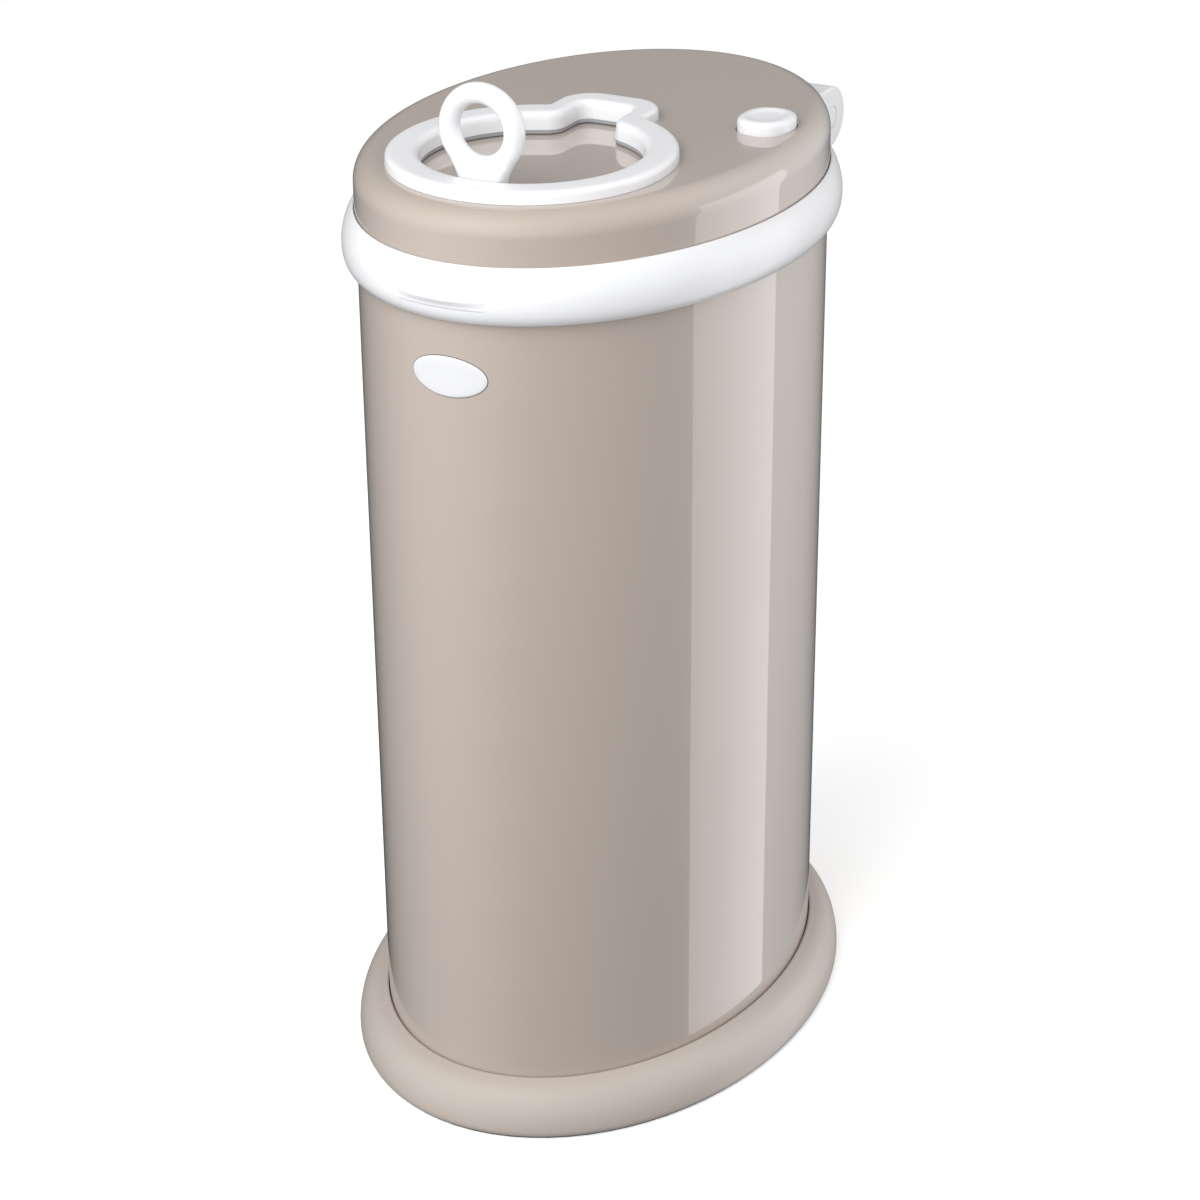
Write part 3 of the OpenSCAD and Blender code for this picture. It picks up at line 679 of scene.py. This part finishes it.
class BIN_OT_collar(bpy.types.Operator):
    """Makes the collar in the body's top and the lift-out bag ring"""

    bl_idname = "bin.collar"
    bl_label = "Collar and bag ring"

    def execute(self, context):
        top = context.scene.bin_sizes.body_top / MM
        collar = np.array([
            (-1.3, top - 38), (-1.3, top), (-14, top), (-14, top - 7.8), (-26, top - 7.8),
            (-26, top - 10), (-11.8, top - 10), (-11.8, top - 2.2), (-3.5, top - 2.2),
            (-3.5, top - 38),
        ])
        piece = tube_piece("collar_moulding", oval_sweep(rounded(collar, 0.6) * MM))
        dress(piece, "bin", "white", "white_satin", "top_collar")
        z = top - 7.7
        ring = np.array([
            (-14.3, z), (-14.3, z + 2.4), (-28.3, z + 2.4), (-28.3, z - 14.6), (-26.3, z - 14.6),
            (-26.3, z),
        ])
        piece = tube_piece("bag_ring_moulding", oval_sweep(rounded(ring, 0.9) * MM))
        dress(piece, "bin", "white", "white_gloss", "bag_ring")
        return {"FINISHED"}


class BIN_OT_band(bpy.types.Operator):
    """Makes the lid's white band, the finger lip that grows out of it, and the seal inside it"""

    bl_idname = "bin.band"
    bl_label = "Band and lip"

    def execute(self, context):
        s = context.scene.bin_sizes
        v = Levels(s)
        b, h = s.band_out / MM, s.band_height / MM
        skin = through([
            (1.2, 0), (0.4 * b, 0.7), (0.64 * b, 2.3), (0.84 * b, 4.9), (0.96 * b, 8.2), (b, 12),
            (0.975 * b, 16), (0.875 * b, 20), (0.71 * b, h - 6.9), (0.51 * b, h - 3.5),
            (0.33 * b, h - 1.2), (1.9, h - 0.3), (1.3, h), (0.8, h - 0.4),
        ])
        inside = [
            (0.8, h - 6.9), (-2.2, h - 6.9), (-2.2, h - 9.3), (0.85 * b - 2.4, h - 9.3),
            (0.96 * b - 2.4, 16.5), (b - 2.4, 12), (0.95 * b - 2.4, 8.6), (0.7 * b - 2.4, 5.3),
            (-16, 5.3), (-16, 2.9), (-3, 2.9), (-3, 0),
        ]
        profile = np.concatenate([skin, inside]) * MM + (0, v.lid)
        band = cut_away(tube_piece("band_moulding", oval_sweep(profile)), [knuckle_room()])
        dress(band, "lid", "white", "white_gloss", "lid_band")
        dress(self.lip(s, v), "lid", "white", "white_gloss")
        seal = np.array([(-3.6, 0.3), (-3.6, 3.4), (-9.4, 3.4), (-9.4, 0.3)])
        ring = oval_sweep(rounded(seal, 1.2) * MM + (0, s.body_top))
        dress(tube_piece("lid_seal_ring", ring), "lid", "grey", "dark_rubber", "lid_seal")
        return {"FINISHED"}

    def lip(self, s, v):
        """A crescent: its reach falls as cos(pi x / width)^0.7 to nothing at both ends. Each
        section is a smooth closed run from inside the band over the nose and back, of points
        (distance out, height, share of the reach)."""
        x = np.linspace(-0.995, 0.995, 81) * s.lip_width / 2
        t = -np.arccos(x / v.half_w)
        reach = s.lip_out * np.cos(np.pi * x / s.lip_width) ** 0.7
        section = np.array([
            (-2.0, 3.4, 0), (-0.2, 3.1, 0), (0.1, 2.75, 0.35), (0.0, 2.3, 0.75),
            (0.0, 1.75, 0.96), (0.0, 1.2, 1.0), (0.0, 0.6, 0.93), (0.0, -0.3, 0.72),
            (0.0, -1.9, 0.32), (-0.1, -3.8, 0.05), (-2.0, -4.0, 0), (-2.4, 0.3, 0),
        ])
        section = through(np.concatenate([section, section[:1]]), 4)[:-1]
        off = s.band_out + section[:, 0] * MM + section[:, 2] * reach[:, None]
        z = np.broadcast_to(v.lid + LIP_UP + section[:, 1] * MM, off.shape)
        return stack_piece("band_finger_lip", rings(oval_points(t[:, None], off), z), 60)


class BIN_OT_cap(bpy.types.Operator):
    """Makes the pressed steel cap: a side, a rounded edge and a top that slopes to the front"""

    bl_idname = "bin.cap"
    bl_label = "Cap"

    def sheet_side(self, s, v, inset):
        """One face of the sheet, from the side's foot over the edge: rows of (distance out, height,
        share of the slope)."""
        out, r, top = CAP_OUT, s.cap_radius, v.cap_top
        turn = np.radians(np.linspace(0, 90, 22))
        y, z = out - r + (r - inset) * np.cos(turn), top - r + (r - inset) * np.sin(turn)
        return np.concatenate([
            [(out - inset, v.shelf + 0.1 * MM, 0), (out - inset, v.shelf + 4 * MM, 0)],
            np.stack([y, z, np.ones(22)], -1),
            [(out - r - 0.6 * MM, top - inset, 1), (out - r - 3 * MM, top - inset, 1)],
        ])

    def execute(self, context):
        s = context.scene.bin_sizes
        v = Levels(s)
        inner, outer = self.sheet_side(s, v, CAP_SHEET), self.sheet_side(s, v, 0.0)
        run = np.concatenate([inner[::-1], outer])
        grid = oval_sweep(run[:, :2])
        grid[..., 2] += run[:, 2:] * v.slope * grid[..., 1]
        cap = stack_piece("cap_pressing", grid)
        mouth, button = rim_line(CAP_HOLE), button_line(-BUTTON_GAP)
        reach = [v.cap_top - CAP_CUT, v.cap_top + CAP_CUT]
        cut_away(cap, [
            stack_piece("mouth_cut", rings([mouth, mouth], reach)),
            stack_piece("button_cut", rings([button, button], reach)),
            knuckle_room(),
        ])
        dress(cap, "lid", "paint", "gloss_paint", "lid_cap")
        return {"FINISHED"}


class BIN_OT_rim(bpy.types.Operator):
    """Makes the thick white rim round the mouth and its notch, and the gasket under its wall"""

    bl_idname = "bin.rim"
    bl_label = "Rim and gasket"

    def execute(self, context):
        s = context.scene.bin_sizes
        v = Levels(s)
        w, u, foot = s.rim_width / MM, s.rim_height / MM, -RIM_DOWN / MM
        corners = [
            (0.0, foot), (2.8, foot), (2.8, 0.05), (w, 0.05), (w - 0.25, u), (w / 2, u + 0.1),
            (0.9, u - 0.1),
        ]
        section = rounded(corners, [0.5, 0.3, 0.3, 0.25, 3.4, 4.0, 6.2], 9) * MM
        outline = rim_line(section[:, 0] / s.rim_width)
        height = section[:, 1:]
        follow = 1 - np.clip(-height / RIM_DOWN, 0, 1)
        grid = rings(outline, v.cap_top + height + cap_rise(outline) * follow)
        rim = tube_piece("mouth_rim", grid, 50)
        dress(rim, "lid", "white", "white_gloss", "aperture_rim")
        corners = [(0.35, 0.3), (2.7, 0.3), (2.7, 2.6), (0.35, 2.6)]
        section = rounded(corners, [0.7, 0.2, 0.2, 0.3], 5) * MM
        grid = rings(rim_line(section[:, 0] / s.rim_width), v.skin + SKIN_UP + section[:, 1])
        dress(tube_piece("gasket_lip", grid), "lid", "grey", "seal_grey", "aperture_gasket")
        return {"FINISHED"}


class BIN_OT_shutter(bpy.types.Operator):
    """Makes the shutter's painted pan: the mouth's outline a little larger, its top edge rounded"""

    bl_idname = "bin.shutter"
    bl_label = "Shutter"

    def execute(self, context):
        foot = Levels(context.scene.bin_sizes).skin
        top = foot + SKIN_UP
        grow = np.array([2.6, 3.0, 3.0, 2.9, 2.55, 2.0, 1.0]) * MM
        heights = [
            foot - 1 * MM, foot - 0.7 * MM, top - 1 * MM, top - 0.5 * MM, top - 0.1 * MM, top, top,
        ]
        outlines = [mouth_line(g) for g in grow]
        pan = stack_piece("shutter_pan", rings(outlines, heights), 50)
        # Its paint is lighter than the body's: painted light.
        dress(pan, "shutter", "paint", "shutter_paint", "slide_skin")
        return {"FINISHED"}


class BIN_OT_handle(bpy.types.Operator):
    """Makes the upright ring handle: a torus and a flat stem, melted together"""

    bl_idname = "bin.handle"
    bl_label = "Ring handle"

    def torus(self, mid, w, r, centre):
        """The point (mid + w cos b) from the centre at the angle a, and r sin b from the ring's
        plane: an ellipse of half sizes w and r carried round the circle of radius mid."""
        a, b = circle(144)[:, None], circle(48)[None, :]
        out, y = mid + w * np.cos(b), r * np.sin(b) - RING_FORWARD
        points = np.broadcast_arrays(out * np.cos(a), y, out * np.sin(a) + centre)
        return np.stack(points, -1)

    def stem(self, w, r, foot, low):
        """Flat ovals from the shutter up to the ring's lowest point and on. They grow wider there
        and thinner, as r sqrt(1 - (d / w)^2) at the height d over that point."""
        steps = [
            (foot, 0), (foot + 0.0006, 0), (foot + 0.005, 0), (low - 0.010, 0.0004),
            (low - 0.006, 0.0012), (low - 0.0028, 0.0024), (low, 0.0038),
            (low + 0.0024, 0.0052), (low + 0.0046, 0.0064),
        ]
        run = through(steps)
        half = sizes().stem_width / 2 + run[:, 1:]
        thick = r * np.sqrt(1 - np.clip((run[:, :1] - low) / w, 0, 0.9) ** 2) - 0.1 * MM
        t = circle(96)[None, :]
        x = (half - thick) * np.clip(np.cos(t) * 3, -1, 1) + thick * np.cos(t)
        y = thick * np.sin(t) - RING_FORWARD
        return np.stack(np.broadcast_arrays(x, y, run[:, :1]), -1)

    def execute(self, context):
        s = context.scene.bin_sizes
        r, w = s.ring_thickness / 2, s.ring_width / 2
        mid = s.ring_diameter / 2 - w
        centre = RING_TOP - w - mid
        points, faces = stack_parts(self.stem(w, r, Levels(s).skin, centre - mid))
        ring = self.torus(mid, w, r, centre)
        faces.append(grid_faces(*ring.shape[:2], True, start=len(points))[:, ::-1])
        points = np.concatenate([points, ring.reshape(-1, 3)])
        piece = add_piece("ring_grip", points, faces, 180)
        melt = piece.modifiers.new("melt", "REMESH")
        melt.mode = "VOXEL"
        melt.voxel_size = 0.0006
        melt.use_smooth_shade = True
        ease = piece.modifiers.new("ease", "SMOOTH")
        ease.factor = 0.5
        ease.iterations = 12
        bake(piece, 180)
        dress(piece, "shutter", "white", "white_gloss", "ring_handle")
        return {"FINISHED"}


class BIN_OT_button(bpy.types.Operator):
    """Makes the lock button with its rounded edge and dished top"""

    bl_idname = "bin.button"
    bl_label = "Lock button"

    def execute(self, context):
        s = context.scene.bin_sizes
        v = Levels(s)
        u = s.button_height / MM
        seat = v.cap_top + v.slope * BUTTON_AT[1]
        run = through([
            (-1.8, -4.5), (-1.8, -4.4), (-1.8, -2.1), (-1.75, -2.0), (-0.1, -2.0), (0, -1.9),
            (0, 0.3 * u), (0.05, 0.6 * u), (0.45, 0.8 * u), (1.3, 0.92 * u), (2.6, 0.985 * u),
            (4.2, u), (5.4, u - 0.15), (6.8, u - 0.6), (9.0, u - 0.95), (12.0, u - 1.05),
            (15.0, u - 1.1),
        ], 4) * MM
        grid = rings(button_line(run[:, 0]), seat + run[:, 1])
        button = stack_piece("lock_button_cap", grid, 50)
        dress(button, "button", "white", "white_gloss", "lock_button")
        return {"FINISHED"}


class BIN_OT_hinge(bpy.types.Operator):
    """Makes the lid's two hinge arms, rounded blocks with a half round back, and their stoppers"""

    bl_idname = "bin.hinge"
    bl_label = "Hinge arms"

    def arm(self, name, side):
        """Sections across X: a half circle behind the axis and straight runs forward to the body's
        oval. Near the two ends they are drawn in along a quarter circle: with q from 0 to 90
        degrees, the station is e (1 - cos q) inside the end where the inset is e (1 - sin q)."""
        x0, x1, near, edge = KNUCKLE_HALF + KNUCKLE_GAP, BARREL_HALF, 0.6 * MM, 1.6 * MM
        q = np.linspace(0, np.pi / 2, 9)
        x = np.concatenate([
            x0 + near * (1 - np.cos(q)), [x0 + 4 * MM, x1 - 4 * MM], x1 - edge * (1 - np.sin(q))
        ])
        inset = np.concatenate([near * (1 - np.sin(q)), [0, 0], edge * (1 - np.cos(q))])
        r = (HINGE_R - inset)[:, None]
        t = np.radians(np.linspace(-90, 90, 49))[None, :]
        share = np.linspace(0, 1, 9)[None, 1:]
        front = oval_front(x)[:, None] + 0.2 * MM
        top_y = HINGE_Y * (1 - share) + front * share
        top_z = np.broadcast_to(r, top_y.shape)
        y = np.concatenate([HINGE_Y + r * np.cos(t), top_y, top_y[:, ::-1]], axis=1)
        z = np.concatenate([r * np.sin(t), top_z, -top_z[:, ::-1]], axis=1) + HINGE_Z
        grid = np.stack([np.broadcast_to(x[:, None] * side, y.shape), y, z], -1)
        ends = sorted((side * (BARREL_HALF - RECESS_DEEP), side * (BARREL_HALF + 2 * MM)))
        return cut_away(stack_piece(name, grid, 40), [rod("pin_recess", RECESS_R, *ends)])

    def stopper(self, name, side):
        """A stopper turned about the hinge's axis, its face all but flush with the barrel's end: a
        run of (distance out past the end, radius) in millimetres."""
        run = MM * through([
            (-4.4, 5.8), (-4.1, 6.3), (-3.4, 6.52), (-0.7, 6.52), (-0.25, 6.35), (0.0, 5.9),
            (0.1, 3.0),
        ], 4)
        t = circle(72)[None, :]
        x, r = side * (BARREL_HALF + run[:, :1]), run[:, 1:]
        y, z = HINGE_Y + r * np.cos(t), HINGE_Z + r * np.sin(t)
        return stack_piece(name, np.stack(np.broadcast_arrays(x, y, z), -1), 50)

    def execute(self, context):
        for name, side in (("left", -1), ("right", 1)):
            arm = self.arm(f"{name}_arm_moulding", side)
            dress(arm, "lid", "white", "white_gloss", f"{name}_hinge_arm")
            stopper = self.stopper(f"{name}_stopper", side)
            dress(stopper, "lid", "white", "white_gloss", f"{name}_pin_cap")
        return {"FINISHED"}


class BIN_OT_carried(bpy.types.Operator):
    """Gives every solid the finish of its slot in the record"""

    bl_idname = "bin.carried"
    bl_label = "Finish the solids"

    def execute(self, context):
        by_slot = {
            "paint": "gloss_paint", "base": "satin_base", "white": "white_satin",
            "grey": "dark_rubber", "grey_plastic": "dark_plastic", "steel": "bare_steel",
        }
        for part in frame["record"]["subparts"]:
            for slot in frame["nodes"][part["node"]].material_slots:
                slot.material = finish(by_slot[part["material_slot"]])
        return {"FINISHED"}


class BIN_OT_stage(bpy.types.Operator):
    """Sets the camera, the pale floor and the soft lights"""

    bl_idname = "bin.stage"
    bl_label = "Stage"

    def studio(self):
        """Soft light from all round: an even level, plus smooth patches of light or shade. Each has
        an azimuth and an elevation in degrees, the cosine at its edge and its strength."""
        level = 0.36
        patches = (
            (-130, 5, 0.25, 0.7), (-80, 45, 0.2, 0.4), (50, 25, 0.4, 1.0), (62, -20, 0.6, 0.55),
            (0, -90, 0.0, -0.3), (112, -28, 0.6, -0.3), (110, 50, 0.2, -0.1),
        )
        world = bpy.data.worlds.new("studio")
        world.use_nodes = True
        sky = Nodes(world.node_tree, "Background")
        view = sky.node("ShaderNodeTexCoord", output="Generated")
        glow = sum((self.patch(sky, view, *place) * power for *place, power in patches), level)
        sky.set(Color=(1.0, 1.0, 1.0), Strength=glow)
        return world

    def patch(self, sky, view, azimuth, elevation, edge):
        """A smooth round patch about a direction c: ((d . c - edge) / (1 - edge)) squared, and 0
        past the edge."""
        a, e = math.radians(azimuth), math.radians(elevation)
        c = (math.cos(a) * math.cos(e), math.sin(a) * math.cos(e), math.sin(e))
        settings = {"operation": "DOT_PRODUCT"}
        near = sky.node("ShaderNodeVectorMath", settings, {0: view, 1: c}, output="Value")
        share = ((near - edge) * (1 / (1 - edge))).clamped()
        return share * share

    def camera(self):
        """The camera fitted to the photograph, from its place and its right and up directions."""
        view = bpy.data.cameras.new("view")
        view.lens, view.sensor_width = 87.87, 36.0
        right = Vector((0.88215142, 0.47091634, -0.00683268))
        up = Vector((-0.19870336, 0.3852992, 0.90114455))
        turn = Matrix((right, up, right.cross(up))).transposed()
        camera = bpy.data.objects.new("view", view)
        camera.matrix_world = Matrix.Translation((0.7285, -1.3548, 0.9975)) @ turn.to_4x4()
        bpy.context.scene.collection.objects.link(camera)
        return camera

    def floor(self):
        """A wide pale floor that shows only to the camera."""
        span = np.linspace(-6, 6, 3)
        grid = np.stack([*np.meshgrid(span, span, indexing="ij"), np.zeros((3, 3))], -1)
        floor = add_piece("floor", grid, [grid_faces(3, 3, False, False)])
        pale = Finish("pale_floor")
        tone = pale.mix(pale.noise(3.0, 2.0), (0.93, 0.93, 0.93), (0.95, 0.95, 0.95))
        pale.set(Base_Color=tone, Roughness=0.9)
        pale.set(Emission_Color=(1.0, 1.0, 1.0), Emission_Strength=0.3)
        floor.data.materials.append(pale.material)
        floor.visible_glossy = False
        floor.visible_diffuse = False
        return floor

    def light(self, name, place, target, size_x, size_y, power):
        """A rectangular lamp of some watts at a place, turned to its target."""
        data = bpy.data.lights.new(name, "AREA")
        data.shape = "RECTANGLE"
        data.size, data.size_y = size_x, size_y
        data.energy = power
        lamp = bpy.data.objects.new(name, data)
        lamp.location = place
        lamp.rotation_euler = (Vector(target) - Vector(place)).to_track_quat("-Z", "Y").to_euler()
        lamp.visible_camera = False
        bpy.context.scene.collection.objects.link(lamp)
        return lamp

    def execute(self, context):
        scene = context.scene
        scene.camera = self.camera()
        scene.view_settings.view_transform = "Standard"
        scene.world = self.studio()
        self.floor()
        key = self.light("key", (-0.3, -1.5, 1.9), (0, 0, 0.45), 1.6, 1.2, 27)
        fill = self.light("fill", (0.45, -1.2, 0.8), (0, 0, 0.4), 0.9, 0.7, 6.2)
        key.visible_glossy = fill.visible_glossy = False
        self.light("strip", (1.82, 1.23, -0.65), (0, 0, -0.65), 1.56, 3.5, 22)
        return {"FINISHED"}


class BIN_PT_panel(bpy.types.Panel):
    """Lists the sizes, the finishes and the pieces"""

    bl_idname = "BIN_PT_panel"
    bl_label = "Nappy Bin"
    bl_space_type = "VIEW_3D"
    bl_region_type = "UI"
    bl_category = "Nappy Bin"

    def draw(self, context):
        for group in (context.scene.bin_sizes, context.scene.bin_finishes):
            box = self.layout.box()
            for key in group.__annotations__:
                box.prop(group, key)
        for piece in PIECES:
            self.layout.operator(piece.bl_idname)


PIECES = (
    BIN_OT_stage, BIN_OT_carried, BIN_OT_base, BIN_OT_body, BIN_OT_label, BIN_OT_collar,
    BIN_OT_band, BIN_OT_cap, BIN_OT_rim, BIN_OT_shutter, BIN_OT_handle, BIN_OT_button,
    BIN_OT_hinge,
)
CLASSES = (BinSizes, BinFinishes, *PIECES, BIN_PT_panel)


def register():
    for item in CLASSES:
        bpy.utils.register_class(item)
    bpy.types.Scene.bin_sizes = PointerProperty(type=BinSizes)
    bpy.types.Scene.bin_finishes = PointerProperty(type=BinFinishes)


def unregister():
    del bpy.types.Scene.bin_finishes
    del bpy.types.Scene.bin_sizes
    for item in reversed(CLASSES):
        bpy.utils.unregister_class(item)


def main():
    register()
    for piece in PIECES:
        group, name = piece.bl_idname.split(".")
        getattr(getattr(bpy.ops, group), name)()


if __name__ == "__main__":
    main()
